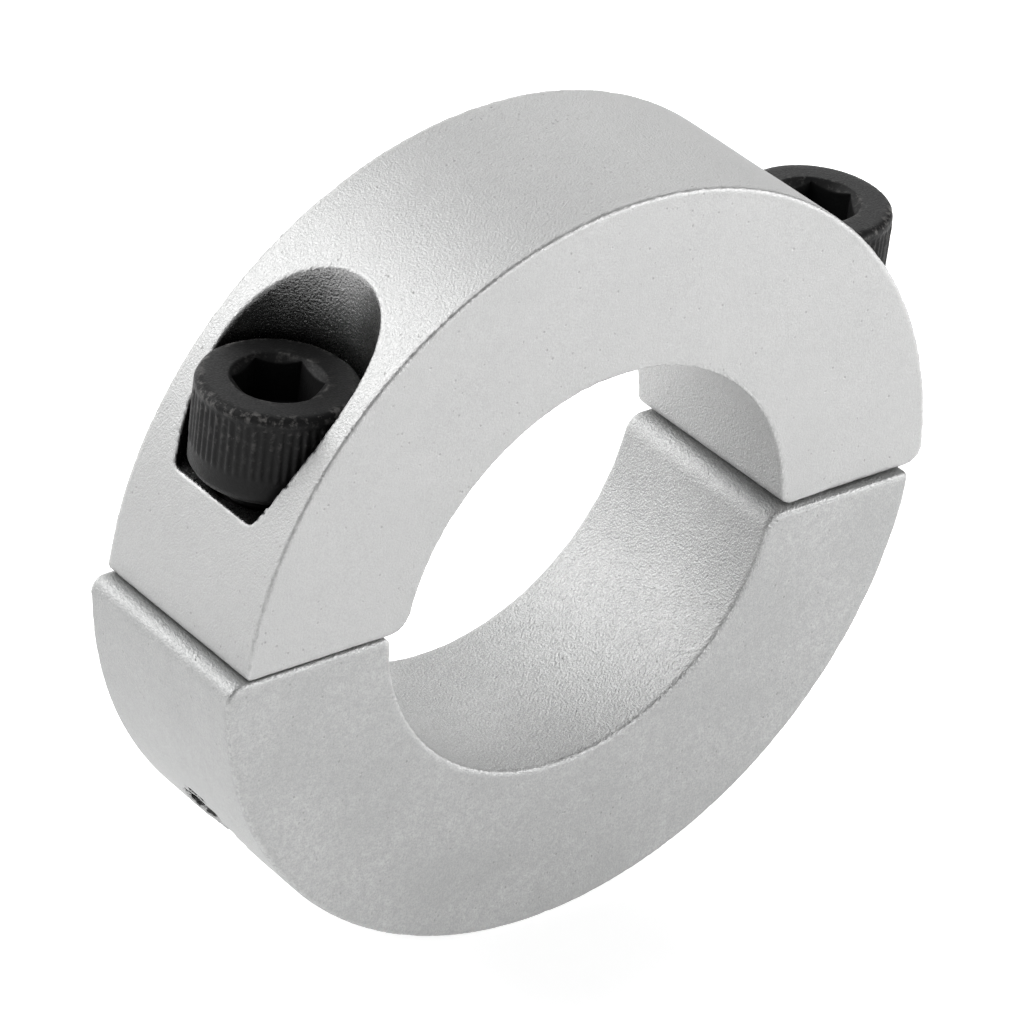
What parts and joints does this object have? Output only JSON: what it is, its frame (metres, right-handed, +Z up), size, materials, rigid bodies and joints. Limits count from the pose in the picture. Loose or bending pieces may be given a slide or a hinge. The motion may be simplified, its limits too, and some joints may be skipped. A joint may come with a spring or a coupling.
{
  "type": "shaft collar",
  "caption": "Split clamp-on collar for a round shaft: a tapped half and a pocketed half drawn together by socket head cap screws.",
  "frame": {"origin": "on the bore axis of the tapped half, midway along the ring's width and midway between the split faces", "axes": "+Z up along the clamping screws, with their heads up; Y is the bore axis; +X along the split, from the left screw to the right one"},
  "size_m": [0.0459, 0.0125, 0.043],
  "materials": {
    "ring_metal": "vibratory tumbled, bare",
    "screw_steel": "black oxide, lightly oiled"
  },
  "bodies": {
    "tapped_half": {"tapped_half": "ring_metal"},
    "clearance_half": {"clearance_half": "ring_metal"},
    "left_screw": {"left_clamp_screw": "screw_steel"},
    "right_screw": {"right_clamp_screw": "screw_steel"}
  },
  "joints": [
    {"name": "halves_open", "type": "slide", "parent": "tapped_half", "child": "clearance_half", "axis": [0, 0, 1], "range_m": [0, 0.008]},
    {"name": "left_screw_turn", "type": "hinge", "parent": "clearance_half", "child": "left_screw", "pos_m": [-0.01646, 0.00006, 0.0105], "axis": [0, 0, 1], "range_deg": [0, 3600]},
    {"name": "right_screw_turn", "type": "hinge", "parent": "clearance_half", "child": "right_screw", "pos_m": [0.01854, 0.00042, 0.0115], "axis": [0, 0, 1], "range_deg": [0, 3600]}
  ],
  "couplings": [
    {"joint": "left_screw_turn", "follows": "halves_open", "rad_per_m": 7854},
    {"joint": "right_screw_turn", "follows": "halves_open", "rad_per_m": 7854}
  ]
}
